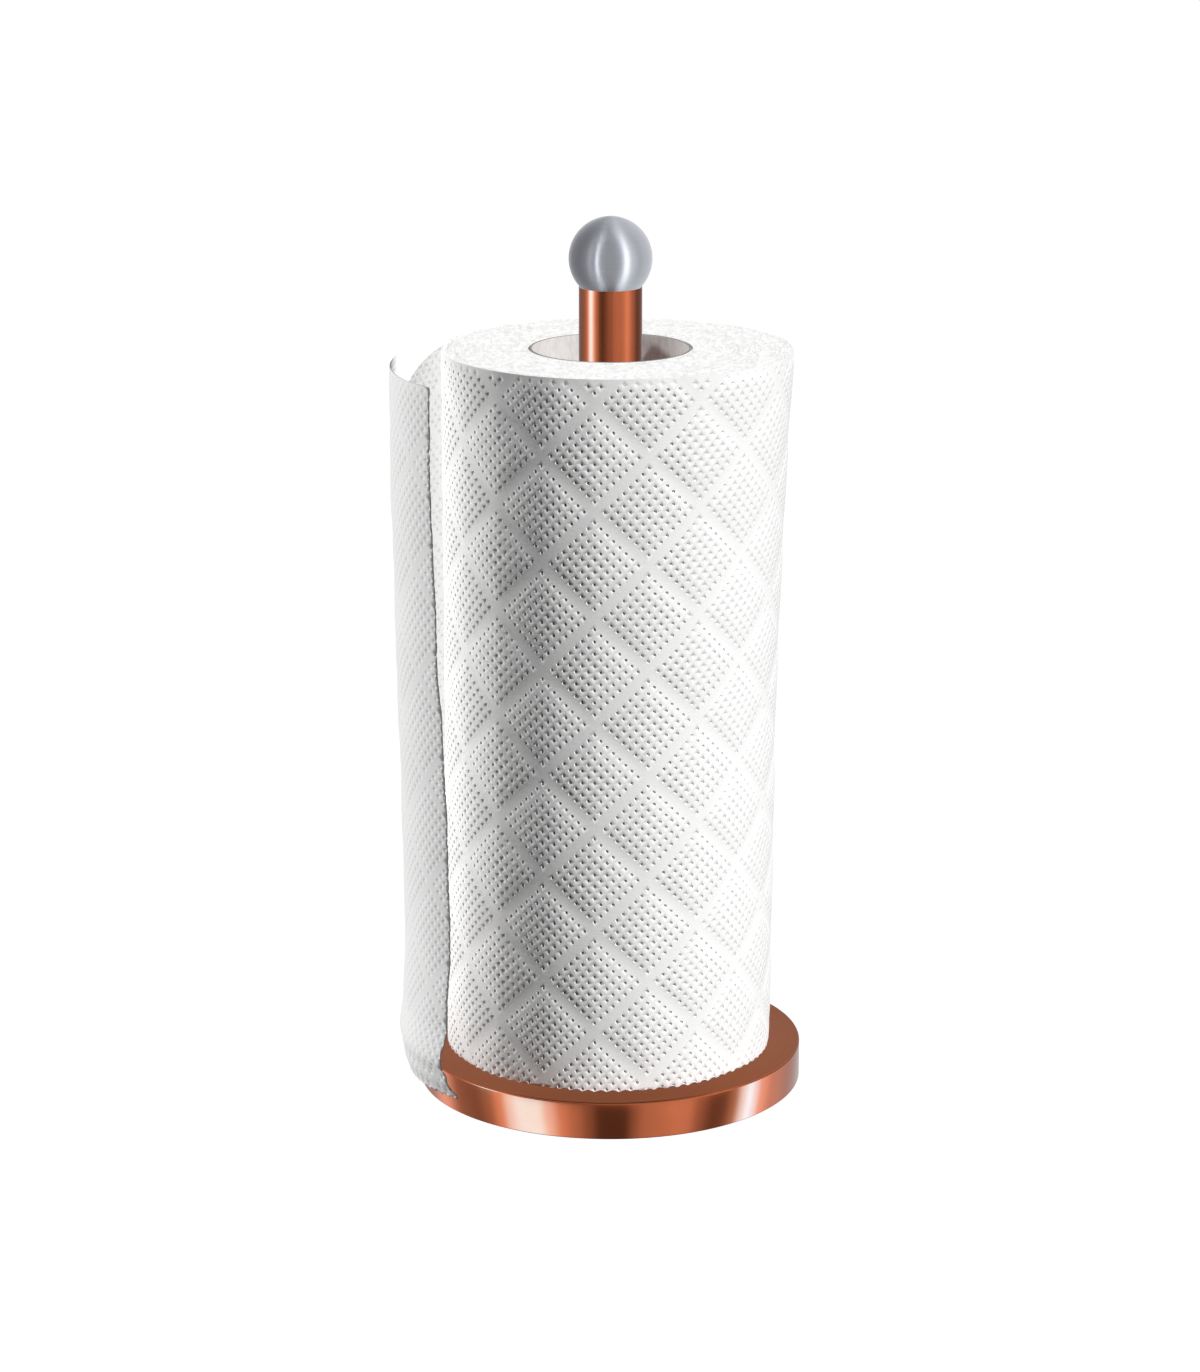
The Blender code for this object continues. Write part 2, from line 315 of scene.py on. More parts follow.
def brushed_steel():
    """Steel brushed round the pole's axis, which draws its highlights out up and down."""
    made, shader = material("brushed_steel", STEEL, 0.26, metallic=1.0)
    brushing = noise_of(made, radius_and_height(made, 2500.0, 5200.0), 1.0, detail=3.0)
    drive(made, shader, "Base Color", brushing, STEEL_DARK, STEEL_LIGHT)
    drive(made, shader, "Roughness", brushing, 0.29, 0.36)
    brushed_round(made, shader, 0.95)
    bump(made, shader, brushing, distance=0.000002)
    return made


def zinc_steel():
    """Zinc plated fasteners, with the faint crystals and yellow tint of the plating."""
    made, shader = material("zinc_steel", ZINC, 0.35, metallic=1.0)
    crystals = cells_of(made, 900.0)
    drive(made, shader, "Base Color", crystals, ZINC_YELLOW, ZINC_BLUE, start=0.0, end=1.0)
    drive(made, shader, "Roughness", crystals, 0.28, 0.42, start=0.0, end=1.0)
    bump(made, shader, crystals, distance=0.00001)
    return made


def cast_iron():
    """Rough black iron with the sand's grain."""
    made, shader = material("cast_iron", IRON, 0.7, metallic=0.6)
    grain = noise_of(made, object_place(made), 900.0, detail=6.0)
    drive(made, shader, "Base Color", grain, IRON_DARK, IRON_LIGHT)
    drive(made, shader, "Roughness", grain, 0.55, 0.85, start=0.0, end=1.0)
    bump(made, shader, grain, distance=0.00015)
    return made


def black_rubber():
    """Matte pad with a fine pebbled skin."""
    made, shader = material("black_rubber", RUBBER, 0.85)
    pebbles = cells_of(made, 1600.0)
    drive(made, shader, "Base Color", pebbles, RUBBER_LIGHT, RUBBER_DARK, start=0.0, end=1.0)
    drive(made, shader, "Roughness", pebbles, 0.75, 0.95, start=0.0, end=1.0)
    bump(made, shader, pebbles, distance=0.00008)
    return made


def grey_card():
    """Recycled card with flecks of fibre."""
    made, shader = material("grey_card", CARD, 0.95)
    fibres = noise_of(made, object_place(made, (1.0, 1.0, 0.35)), 900.0, detail=6.0, roughness=0.7)
    drive(made, shader, "Base Color", fibres, CARD_DARK, CARD_LIGHT)
    drive(made, shader, "Roughness", fibres, 0.85, 1.0, start=0.0, end=1.0)
    bump(made, shader, fibres, distance=0.00008)
    return made


def cut_card():
    """The core's cut ends: darker, with its plies showing as rings."""
    made, shader = material("cut_card", CUT_CARD, 0.95)
    plies = noise_of(made, radius_and_height(made, 4000.0, 300.0), 1.0, detail=3.0)
    drive(made, shader, "Base Color", plies, CUT_CARD_DARK, CUT_CARD_LIGHT)
    bump(made, shader, plies, distance=0.0001)
    return made


def towel_paper():
    """Soft white paper: matted fibres, fine crinkles, a slight nap, and painted shade darkening the
    pits.
    """
    made, shader = material("towel_paper", TOWEL, 0.95)
    fibres = noise_of(made, object_place(made), 2400.0, detail=5.0, roughness=0.7)
    crinkles = noise_of(made, object_place(made, (1.0, 1.0, 2.2)), 420.0, detail=3.0)
    # Painted shade: the pit weight darkens the colour towards each pit's centre
    pits = add_node(made, "ShaderNodeAttribute", attribute_name="pressed")
    painted_pit_shade = ramp(made, pits.outputs["Fac"], 1.0, PIT_SHADE, 0.35, 0.85)
    tone = ramp(made, fibres, FIBRES_DARK, FIBRES_LIGHT, 0.3, 0.7)
    link(made, multiplied(made, tone, painted_pit_shade), shader.inputs["Base Color"])
    drive(made, shader, "Roughness", fibres, 0.90, 1.0, start=0.0, end=1.0)
    shader.inputs["Specular IOR Level"].default_value = 0.25
    shader.inputs["Sheen Weight"].default_value = 0.08
    under = bump(made, shader, crinkles, distance=0.00008, strength=0.6)
    bump(made, shader, fibres, distance=0.00004, below=under)
    return made


def towel_edge():
    """Cut ends of the wound towel: thin wavy layers, pressed together and roughened by the cut."""
    made, shader = material("towel_edge", TOWEL, 0.97)
    layers = noise_of(made, radius_and_height(made, 1300.0, 260.0), 1.0, detail=3.0)
    fuzz = noise_of(made, object_place(made, (1.0, 0.45, 1.0)), 600.0, detail=6.0, roughness=0.75)
    tone = ramp(made, layers, LAYERS_DARK, LAYERS_LIGHT, 0.35, 0.6)
    shade = ramp(made, fuzz, 0.80, 1.0, 0.38, 0.58)
    link(made, multiplied(made, tone, shade), shader.inputs["Base Color"])
    shader.inputs["Specular IOR Level"].default_value = 0.2
    under = bump(made, shader, layers, distance=0.00025, strength=0.8)
    bump(made, shader, fuzz, distance=0.00030, below=under)
    return made


def towel_inside_shaded():
    """The towel's inner ply: smooth, with its fibres only, in the towel's white painted darker as
    painted shade.
    """
    made, shader = material("towel_inside_shaded", TOWEL, 0.95)
    fibres = noise_of(made, object_place(made), 2400.0, detail=5.0, roughness=0.7)
    drive(made, shader, "Base Color", fibres, INNER_SHADED_DARK, INNER_SHADED_LIGHT)
    shader.inputs["Specular IOR Level"].default_value = 0.25
    bump(made, shader, fibres, distance=0.00004)
    return made


# ---------------------------------------------------------------- shapes


def rounded(corners, steps=5):
    """Points of an outline of (radius, height, fillet) corners, each fillet an arc."""
    count = len(corners)
    points = []
    for i, (r, z, fillet) in enumerate(corners):
        here = Vector((r, z))
        if not fillet:
            points.append(here)
            continue
        before = (Vector(corners[i - 1][:2]) - here).normalized()
        after = (Vector(corners[(i + 1) % count][:2]) - here).normalized()
        half = before.angle(after) / 2
        reach = fillet / math.tan(half)
        middle = here + (before + after).normalized() * (fillet / math.sin(half))
        start = here + before * reach - middle
        end = here + after * reach - middle
        sweep = start.angle_signed(end)
        points += [middle + Matrix.Rotation(-sweep * k / steps, 2) @ start for k in range(steps + 1)]
    return points


def arc(centre_z, radius, start, end, steps):
    """Points round a circle on the axis, from angle start to end above the level."""
    angles = [start + (end - start) * k / steps for k in range(steps + 1)]
    return [Vector((radius * math.cos(a), centre_z + radius * math.sin(a))) for a in angles]


def turned(points, closed=True, steps=STEPS_ROUND):
    """A profile of (radius, height) points, turned round the axis."""
    bm = bmesh.new()
    verts = [bm.verts.new((p[0], 0.0, p[1])) for p in points]
    pairs = list(zip(verts, verts[1:]))
    if closed:
        pairs.append((verts[-1], verts[0]))
    edges = [bm.edges.new(pair) for pair in pairs]
    bmesh.ops.spin(
        bm,
        geom=verts + edges,
        cent=(0.0, 0.0, 0.0),
        axis=(0.0, 0.0, 1.0),
        dvec=(0.0, 0.0, 0.0),
        angle=2 * math.pi,
        steps=steps,
        use_merge=True,
    )
    bmesh.ops.remove_doubles(bm, verts=bm.verts, dist=MERGE)
    bmesh.ops.recalc_face_normals(bm, faces=bm.faces)
    return bm


def mesh_of(bm, name, materials=()):
    """The bmesh made into a mesh with these materials, and freed."""
    mesh = bpy.data.meshes.new(name)
    bm.to_mesh(mesh)
    bm.free()
    for made in materials:
        mesh.materials.append(made)
    return mesh


def finish_piece(bm, name, body, materials, replaced, sharp=40):
    """Makes the bmesh an object that rides on a body and stands for CAD nodes.

    Edges that turn by more than sharp degrees look sharp.
    """
    mesh = mesh_of(bm, name, materials)
    mesh.shade_smooth()
    mesh.set_sharp_from_angle(angle=math.radians(sharp))
    piece = bpy.data.objects.new(name, mesh)
    bpy.context.scene.collection.objects.link(piece)
    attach(piece, body)
    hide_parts(*replaced)
    return piece


# ---------------------------------------------------------------- base, pole and ball


def base_disc():
    """The base's pressed cover, open below, with a satin top."""
    top, bottom = base_high.z, base_low.z
    inner = base_radius - SHEET_METAL
    outline = rounded([
        (SCREW_HOLE_RADIUS, top, 0.0),
        (base_radius, top, BASE_RIM_RADIUS),
        (base_radius, bottom, BASE_HEM_RADIUS),
        (inner, bottom, BASE_HEM_RADIUS),
        (inner, top - SHEET_METAL, BASE_HEM_RADIUS),
        (SCREW_HOLE_RADIUS, top - SHEET_METAL, 0.0),
    ])
    bm = turned(outline, steps=2 * STEPS_ROUND)
    for face in bm.faces:
        face.material_index = 1 if face.normal.z > 0.9 else 0
    finish_piece(bm, "base_disc", "stand", [copper, satin], ["base_cover"])


def seat_height(radius):
    """Height just under the ball at a radius, where the pole's top is cupped to take it."""
    return ball_z - math.sqrt(ball_radius**2 - radius**2) - SEAT_GAP


def pole():
    """The copper tube."""
    bore = pole_radius - POLE_WALL
    outline = rounded([
        (pole_radius, seat_height(pole_radius), 0.0),
        (pole_radius, pole_low.z, POLE_EDGE_RADIUS),
        (bore, pole_low.z, POLE_EDGE_RADIUS),
        (bore, seat_height(bore), 0.0),
    ])
    bm = turned(outline)
    finish_piece(bm, "pole", "stand", [copper], ["pole_tube"])


def boss_radius():
    """Radius of the boss where it passes through the ball's wall."""
    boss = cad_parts["ball_boss"].data.vertices
    return max(math.hypot(v.co.x, v.co.y) for v in boss if v.co.z < boss_low.z + BALL_WALL / 2)


def ball():
    """A hollow ball with the boss's hole at its foot."""
    hole = (boss_radius() + BALL_HOLE_CLEARANCE) / (ball_radius - BALL_WALL)
    foot = -math.acos(hole)
    outer = arc(ball_z, ball_radius, math.pi / 2, foot, OUTER_BALL_STEPS)
    inner = arc(ball_z, ball_radius - BALL_WALL, foot, math.pi / 2, INNER_BALL_STEPS)
    bm = turned(outer + inner, closed=False)
    shells = ["ball_upper_shell", "ball_lower_shell"]
    finish_piece(bm, "ball", "stand", [steel], shells)


# ---------------------------------------------------------------- roll


def card_core():
    """The roll's card tube."""
    bore = core_radius - CORE_WALL
    outline = rounded([
        (core_radius, core_high.z, CORE_EDGE_RADIUS),
        (core_radius, core_low.z, CORE_EDGE_RADIUS),
        (bore, core_low.z, CORE_EDGE_RADIUS),
        (bore, core_high.z, CORE_EDGE_RADIUS),
    ])
    bm = turned(outline)
    for face in bm.faces:
        face.material_index = 1 if abs(face.normal.z) > 0.5 else 0
    finish_piece(bm, "card_core", "core", [card, card_ends], ["roll_core"])


diamond = 2 * math.pi * roll_radius / DIAMONDS_AROUND
band = diamond / math.sqrt(2) - DOTS * CELL


def crown(place):
    """How far a point across a diamond's side, from 0 to 1, stands up from the bands."""
    return 1.0 - abs(2 * place - 1) ** 4 if 0 < place < 1 else 0.0


def diamond_block():
    """One diamond of the embossing with a band along two sides, flat, and standing on its corner.

    X runs round the roll, Y runs up it and Z stands out of it.
    """
    bm = bmesh.new()
    bmesh.ops.create_grid(bm, x_segments=DOTS + 1, y_segments=DOTS + 1, size=0.5)
    side = DOTS * CELL
    for vert in bm.verts:
        for axis in (0, 1):
            column = round((vert.co[axis] + 0.5) * (DOTS + 1))
            vert.co[axis] = min(column, DOTS) * CELL + max(column - DOTS, 0) * band
    cells = [f for f in bm.faces if max(f.calc_center_median()[:2]) < side]
    bmesh.ops.inset_individual(bm, faces=cells, thickness=CELL / 2 - PIT_RADIUS, use_even_offset=True)
    mouths = {edge for face in cells for edge in face.edges}
    bmesh.ops.subdivide_edges(bm, edges=list(mouths), cuts=1, use_grid_fill=True)
    # Weight for the painted shade in the pits: 1 at each pit's centre, 0 elsewhere
    pressed = bm.verts.layers.float.new("pressed")
    for vert in bm.verts:
        place = Vector((vert.co.x / CELL, vert.co.y / CELL))
        centre = Vector((math.floor(place.x) + 0.5, math.floor(place.y) + 0.5))
        offset = (place - centre) * CELL
        height = PILLOW * (crown(vert.co.x / side) * crown(vert.co.y / side) - 1)
        if max(abs(offset.x), abs(offset.y)) < PIT_REACH and max(place) < DOTS:
            if offset.length < PIT_RADIUS / 2:
                height -= PIT_DEPTH
                vert[pressed] = 1.0
            else:
                offset = offset.normalized() * PIT_RADIUS
            vert.co.x, vert.co.y = centre * CELL + offset
        vert.co.z = height
    bmesh.ops.translate(bm, vec=(band / 2, band / 2, 0.0), verts=bm.verts)
    turn = Matrix.Rotation(math.radians(45), 3, "Z")
    bmesh.ops.rotate(bm, cent=(0.0, 0.0, 0.0), matrix=turn, verts=bm.verts)
    return bm


def geometry(bm):
    """Everything in the bmesh."""
    return bm.verts[:] + bm.edges[:] + bm.faces[:]


def copies(bm, geom, step, count):
    """Repeats the geometry count times in all, a step further each time."""
    for k in range(1, count):
        made = bmesh.ops.duplicate(bm, geom=geom)["geom"]
        verts = [v for v in made if isinstance(v, bmesh.types.BMVert)]
        bmesh.ops.translate(bm, vec=Vector(step) * k, verts=verts)


def trim(bm, place, outwards):
    """Cuts away what lies outwards of a plane."""
    bmesh.ops.bisect_plane(
        bm,
        geom=geometry(bm),
        dist=MERGE / 4,
        plane_co=place,
        plane_no=outwards,
        clear_outer=True,
    )


def flat_towel(start, columns):
    """Embossed towel laid flat, columns of diamonds wide from start, as high as the roll."""
    bm = diamond_block()
    copies(bm, geometry(bm), (diamond / 2, diamond / 2, 0.0), 2)
    rows = math.ceil((roll_top - roll_bottom) / diamond) + 3
    copies(bm, geometry(bm), (0.0, diamond, 0.0), rows)
    copies(bm, geometry(bm), (diamond, 0.0, 0.0), columns)
    bmesh.ops.remove_doubles(bm, verts=bm.verts, dist=MERGE)
    lowest = PATTERN_HEIGHT - diamond * math.ceil((PATTERN_HEIGHT - roll_bottom) / diamond + 1)
    bmesh.ops.translate(bm, vec=(start, lowest, 0.0), verts=bm.verts)
    trim(bm, (0.0, roll_top, 0.0), (0.0, 1.0, 0.0))
    trim(bm, (0.0, roll_bottom, 0.0), (0.0, -1.0, 0.0))
    # The painted pit shade fades out where the top edge is crushed flat
    pressed = bm.verts.layers.float["pressed"]
    for vert in bm.verts:
        flattened = min((roll_top - vert.co.y) / CRUSHED_EDGE, 1.0)
        flattened *= flattened * (3 - 2 * flattened)
        vert[pressed] *= flattened
        vert.co.z = vert.co.z * flattened - PILLOW * (1 - flattened)
        if vert.co.y < roll_bottom + MERGE:
            vert.co.y += SCALLOP * (0.5 - 0.5 * math.cos(2 * math.pi * vert.co.x / SCALLOP_PITCH))
    return bm


def bulge(place):
    """Slow unevenness of the wound towel's surface, and how far its upper right side has slackened."""
    up = 2 * (place.z - roll_bottom) / (roll_top - roll_bottom) - 1
    side = max(place.x, 0.0) / roll_radius
    slack = SLACK * max(up, 0.0) ** SLACK_POWER - TIGHT * max(-up, 0.0)
    return BULGE * noise.noise(place / BULGE_SIZE) + slack * side**2


def border(bm, height):
    """The open edges at a height."""
    open_edges = [e for e in bm.edges if e.is_boundary]
    return [e for e in open_edges if all(abs(v.co.z - height) < LAYER_STEP for v in e.verts)]


def wound_towel():
    """The wound roll: an embossed outside, ends of wavy layers and a bore, in one closed body."""
    bm = flat_towel(0.0, DIAMONDS_AROUND)
    for vert in bm.verts:
        angle = PATTERN_TURN - math.pi / 2 + vert.co.x / roll_radius
        flat = Vector((math.cos(angle), math.sin(angle), 0.0))
        place = flat * roll_radius + Vector((0.0, 0.0, vert.co.y))
        vert.co = place + flat * (vert.co.z - BULGE + bulge(place))
    bmesh.ops.remove_doubles(bm, verts=bm.verts, dist=MERGE * 2)
    bore = core_radius + SEAT_GAP
    shoulder = roll_radius - PILLOW - END_SHOULDER - BULGE
    count = round((shoulder - bore) / LAYER_STEP)
    radii = [shoulder + (bore - shoulder) * k / count for k in range(count + 1)]
    profile = [Vector((r, roll_top)) for r in radii]
    profile += [Vector((r, roll_bottom)) for r in reversed(radii)]
    inside = turned(profile, closed=False, steps=LAYER_SIDES)
    for vert in inside.verts:
        radius = vert.co.to_2d().length
        ring = round((shoulder - radius) / (shoulder - bore) * count)
        spot = Vector((vert.co.x, vert.co.y, 0.0)) * LAYER_WAVES_PER_METRE
        wave = noise.noise(spot + Vector((0.0, 0.0, ring * LAYER_SHIFT)))
        inward = 1 if vert.co.z < (roll_top + roll_bottom) / 2 else -1
        flat = Vector((vert.co.x, vert.co.y, 0.0)) / radius
        slack = bulge(flat * roll_radius + Vector((0.0, 0.0, vert.co.z)))
        vert.co += flat * slack * (1 - ring / count)
        if 0 < ring < count:
            vert.co.z += inward * LAYER_WAVE * (1.2 + 1.6 * wave + (0.5 if ring % 2 else -0.5))
    for face in inside.faces:
        face.material_index = 1
    ends = mesh_of(inside, "roll_ends")
    bm.from_mesh(ends)
    bpy.data.meshes.remove(ends)
    for height in (roll_top, roll_bottom):
        for face in bmesh.ops.bridge_loops(bm, edges=border(bm, height))["faces"]:
            face.material_index = 1
    bmesh.ops.recalc_face_normals(bm, faces=bm.faces)
    materials = [towel, towel_ends]
    finish_piece(bm, "wound_towel", "paper", materials, ["wound_paper"], sharp=62)


def sheet_path():
    """The loose end seen from above: (place, heading) at even steps from the roll to its free edge."""
    steps = round(SHEET_LENGTH * 1000)
    step = SHEET_LENGTH / steps
    outwards = Vector((math.cos(SHEET_LEAVE_ANGLE), math.sin(SHEET_LEAVE_ANGLE)))
    place = outwards * (roll_radius + SHEET_THICKNESS)
    leaving = SHEET_LEAVE_ANGLE + math.pi / 2
    path = [(place.copy(), leaving)]
    for i in range(steps):
        heading = leaving + SHEET_CURL * ((i + 0.5) / steps) ** SHEET_CURL_POWER
        place += step * Vector((math.cos(heading), math.sin(heading)))
        path.append((place.copy(), heading))
    return path


def along(path, distance):
    """Place and heading at a distance from where the sheet leaves the roll.

    Before that it lies on the roll.
    """
    if distance <= 0:
        angle = SHEET_LEAVE_ANGLE + distance / roll_radius
        sunk = PILLOW * (distance / SHEET_ROOT) ** 2 * SHEET_ROOT_SINK
        radius = roll_radius + SHEET_THICKNESS - sunk
        return Vector((math.cos(angle), math.sin(angle))) * radius, angle + math.pi / 2
    share = min(distance / SHEET_LENGTH, 1.0) * (len(path) - 1)
    low = min(int(share), len(path) - 2)
    (a, turn_a), (b, turn_b) = path[low], path[low + 1]
    return a.lerp(b, share - low), turn_a + (turn_b - turn_a) * (share - low)


# How far the free edge leans in towards the roll, as (height above the roll's foot, lean)
EDGE_LEAN = [
    (0.0, 0.0085), (0.007, 0.0042), (0.014, 0.0014), (0.024, 0.0044), (0.050, 0.0062),
    (0.090, 0.0055), (0.120, 0.0038), (0.150, 0.0018), (0.200, 0.0004), (0.230, 0.0),
]


def lean(height):
    """Eased lean of the free edge at a height above the roll's foot."""
    for (z0, a), (z1, b) in zip(EDGE_LEAN, EDGE_LEAN[1:]):
        if height <= z1:
            t = (height - z0) / (z1 - z0)
            return a + (b - a) * t * t * (3 - 2 * t)
    return EDGE_LEAN[-1][1]


def loose_end():
    """The free end of the towel: it leaves the roll, hangs down beside it and ends in a torn edge."""
    roll_start = (PATTERN_TURN - math.pi / 2) * roll_radius
    leave = SHEET_LEAVE_ANGLE * roll_radius
    whole = math.floor((leave - SHEET_ROOT - roll_start) / diamond - 1)
    columns = math.ceil((SHEET_LENGTH + SHEET_ROOT) / diamond) + 3
    bm = flat_towel(roll_start + whole * diamond - leave, columns)
    trim(bm, (-SHEET_ROOT, 0.0, 0.0), (-1.0, 0.0, 0.0))
    trim(bm, (SHEET_LENGTH, 0.0, 0.0), (1.0, 0.0, 0.0))
    path = sheet_path()
    for vert in bm.verts:
        s, height, out = vert.co.x, vert.co.y, vert.co.z
        share = max(s, 0.0) / SHEET_LENGTH
        if s > SHEET_LENGTH - MERGE:
            s += SHEET_TOOTH * noise.noise(Vector((0.0, 0.0, height * TEETH_PER_METRE)))
        place, heading = along(path, s)
        outward = Vector((math.sin(heading), -math.cos(heading)))
        ripple = noise.noise(Vector((s * WAVES_ALONG, 5.0, height * WAVES_UP)))
        wave = SHEET_WAVE * share * ripple
        inward = share**2 * lean(height - roll_bottom) + wave
        flat = place + outward * (out * SHEET_RELIEF - inward)
        vert.co = (flat.x, flat.y, height)
    materials = [towel, towel_back_shaded]
    piece = finish_piece(bm, "loose_end", "paper", materials, ["loose_sheet"], sharp=62)
    wall = piece.modifiers.new("Thickness", "SOLIDIFY")
    wall.thickness = SHEET_THICKNESS
    wall.offset = -1.0
    # The inner side and the cut rim take the inner ply material, which is painted darker as painted
    # shade
    wall.material_offset = 1
    wall.material_offset_rim = 1
    height = roll_top - roll_bottom


# ---------------------------------------------------------------- studio

FLOOR_RADIUS = 14.0
BACKDROP_TOP = 9.0
BACKDROP_FOOT = -0.5
FLOOR_PAPER = (0.93, 0.93, 0.93)
WHITE = (1.0, 1.0, 1.0, 1.0)
WALL_RADIUS = 1.5
BALL_WALL_RADIUS = 1.6
CAP_RADIUS = 0.01

# Heights of the reflectors' edges
LOW_FOOT = -1.3
MIDDLE_FOOT = -0.30
MIDDLE_TOP = 0.30
HIGH_TOP = 2.6
BALL_FOOT = -1.6
BALL_TOP = 3.0


def stage_object(name, mesh, camera=True, diffuse=False, glossy=True, shadow=False):
    obj = bpy.data.objects.new(name, mesh)
    bpy.context.scene.collection.objects.link(obj)
    obj.visible_camera = camera
    obj.visible_diffuse = diffuse
    obj.visible_glossy = glossy
    obj.visible_transmission = False
    obj.visible_volume_scatter = False
    obj.visible_shadow = shadow
    return obj


def pale_floor():
    """A white floor that glows evenly, so that its far edge meets the backdrop unseen."""
    bm = bmesh.new()
    bmesh.ops.create_circle(bm, cap_ends=True, segments=CIRCLE_STEPS, radius=FLOOR_RADIUS)
    made, shader = material("floor_paper", FLOOR_PAPER, 0.9)
    shader.inputs["Emission Color"].default_value = WHITE
    shader.inputs["Emission Strength"].default_value = 1.0
    stage_object("floor", mesh_of(bm, "floor", [made]), glossy=False)


def backdrop():
    """A plain white surround behind the floor's edge."""
    profile = [Vector((FLOOR_RADIUS, BACKDROP_TOP)), Vector((FLOOR_RADIUS, BACKDROP_FOOT))]
    bm = turned(profile, closed=False, steps=CIRCLE_STEPS)
    mesh = mesh_of(bm, "backdrop", [glow("backdrop_white", 1.0)])
    stage_object("backdrop", mesh, glossy=False)


def glow(name, strength, clear=False):
    """A glowing surface, which shows what is behind it as well if it is clear."""
    made = bpy.data.materials.new(name)
    made.use_nodes = True
    made.node_tree.nodes.clear()
    output = add_node(made, "ShaderNodeOutputMaterial")
    emission = add_node(made, "ShaderNodeEmission")
    emission.inputs["Strength"].default_value = strength
    light = emission.outputs[0]
    if clear:
        sheer = add_node(made, "ShaderNodeBsdfTransparent")
        both = add_node(made, "ShaderNodeAddShader")
        link(made, light, both.inputs[0])
        link(made, sheer.outputs[0], both.inputs[1])
        light = both.outputs[0]
    link(made, light, output.inputs["Surface"])
    return made


def cool_color(value):
    """A lamp's colour: neutral up to white, and cooler the brighter it is."""
    extra = max(value - 1.0, 0.0)
    return value - 0.97 * extra, value - 0.42 * extra, value + 0.33 * extra


def plain_color(value):
    """A neutral grey or white."""
    return value, value, value


def reflector(name, radius, low, high, stops, receivers, color=cool_color, capped=False):
    """A curved wall that only the receivers mirror, as bright at each azimuth as stops says.

    Azimuth is in degrees from the front, positive to the right. A capped wall closes over the
    holder and under it.
    """
    profile = [Vector((radius, high)), Vector((radius, low))]
    if capped:
        profile = [Vector((CAP_RADIUS, high)), *profile, Vector((CAP_RADIUS, low))]
    bm = turned(profile, closed=False, steps=CIRCLE_STEPS)
    brightest = max(max(color(value)) for _, value in stops)
    made = glow(name, brightest, clear=True)
    made.cycles.emission_sampling = "NONE"
    place = add_node(made, "ShaderNodeTexCoord")
    split = add_node(made, "ShaderNodeSeparateXYZ")
    turned_front = add_node(made, "ShaderNodeMath", operation="MULTIPLY")
    turned_front.inputs[1].default_value = -1.0
    angle = add_node(made, "ShaderNodeMath", operation="ARCTAN2")
    share = add_node(made, "ShaderNodeMapRange")
    share.inputs["From Min"].default_value = -math.pi
    share.inputs["From Max"].default_value = math.pi
    colors = add_node(made, "ShaderNodeValToRGB")
    colors.color_ramp.interpolation = "EASE"
    elements = colors.color_ramp.elements
    elements.remove(elements[1])
    for i, (azimuth, value) in enumerate(stops):
        element = elements[0] if i == 0 else elements.new(1.0)
        element.position = (azimuth + 180) / 360
        element.color = (*(channel / brightest for channel in color(value)), 1.0)
    link(made, place.outputs["Object"], split.inputs[0])
    link(made, split.outputs["Y"], turned_front.inputs[0])
    link(made, split.outputs["X"], angle.inputs[0])
    link(made, turned_front.outputs[0], angle.inputs[1])
    link(made, angle.outputs[0], share.inputs["Value"])
    link(made, share.outputs[0], colors.inputs["Fac"])
    link(made, colors.outputs["Color"], made.node_tree.nodes["Emission"].inputs["Color"])
    wall = stage_object(name, mesh_of(bm, name, [made]), camera=False)
    wall.light_linking.receiver_collection = receivers


# What each row of the surround shows: (azimuth, brightness). The base mirrors the low row and the
# pole the middle row.
LOW_ROW = [
    (-180, 0.5), (-140, 0.35), (-118, 0.9), (-100, 0.25), (-86, 0.18), (-77, 0.32), (-68, 0.80),
    (-61, 3.4), (-55, 5.2), (-43, 5.2), (-36, 2.4), (-28, 0.72), (-20, 0.46), (-12, 0.22),
    (-6, 0.04), (9, 0.04), (14, 0.24), (20, 0.45), (30, 0.54), (39, 0.65), (47, 0.68), (54, 0.30),
    (63, 0.08), (70, 0.10), (79, 0.40), (86, 3.6), (91, 6.2), (97, 3.6), (102, 1.1), (115, 0.60),
    (135, 0.4), (180, 0.5),
]
MIDDLE_ROW = [
    (-180, 0.30), (-160, 0.25), (-140, 0.15), (-131, 0.18), (-112, 0.25), (-97, 0.45), (-88, 1.1),
    (-81, 4.8), (-76, 6.0), (-70, 4.8), (-63, 1.8), (-56, 0.66), (-50, 0.42), (-39, 0.10),
    (-28, 0.04), (-18, 0.13), (-5, 0.26), (6, 0.30), (14, 0.44), (29, 0.48), (40, 0.48),
    (50, 0.60), (62, 0.82), (70, 0.74), (79, 0.50), (94, 0.30), (111, 0.10), (135, 0.12),
    (160, 0.25), (180, 0.30),
]
HIGH_ROW = [
    (-180, 0.29), (-160, 0.30), (-110, 0.34), (-60, 0.40), (0, 0.3), (60, 0.40), (120, 0.40),
    (160, 0.30), (180, 0.29),
]
BALL_ROW = [
    (-180, 0.8), (-150, 0.5), (-131, 0.30), (-100, 0.24), (-76, 0.32), (-66, 0.50), (-60, 0.80),
    (-54, 0.50), (-44, 0.50), (-41, 1.1), (-38, 3.6), (-35, 0.9), (-28, 0.48), (-4, 0.46),
    (15, 0.48), (30, 0.55), (38, 1.0), (42, 2.3), (50, 2.3), (58, 1.2), (67, 0.92), (89, 0.66),
    (116, 0.80), (150, 0.9), (180, 0.8),
]

# Lights: azimuth off the front and elevation in degrees, strength, and spread in degrees
KEY_AZIMUTH = 53
KEY_LIGHT = (KEY_AZIMUTH, 35, 4.35, 4)
RIM_LIGHT = (-112, 14, 2.9, 8)
SHEET_LIGHT = (-60, 12, 0.8, 10)
BACK_LIGHT = (165, 18, 1.1, 20)
FILL_STRENGTH = 0.05

FLAG_EDGE = 0.0550
FLAG_DISTANCE = 0.145
FLAG_WIDTH = 0.40
FLAG_HEIGHT = 1.0


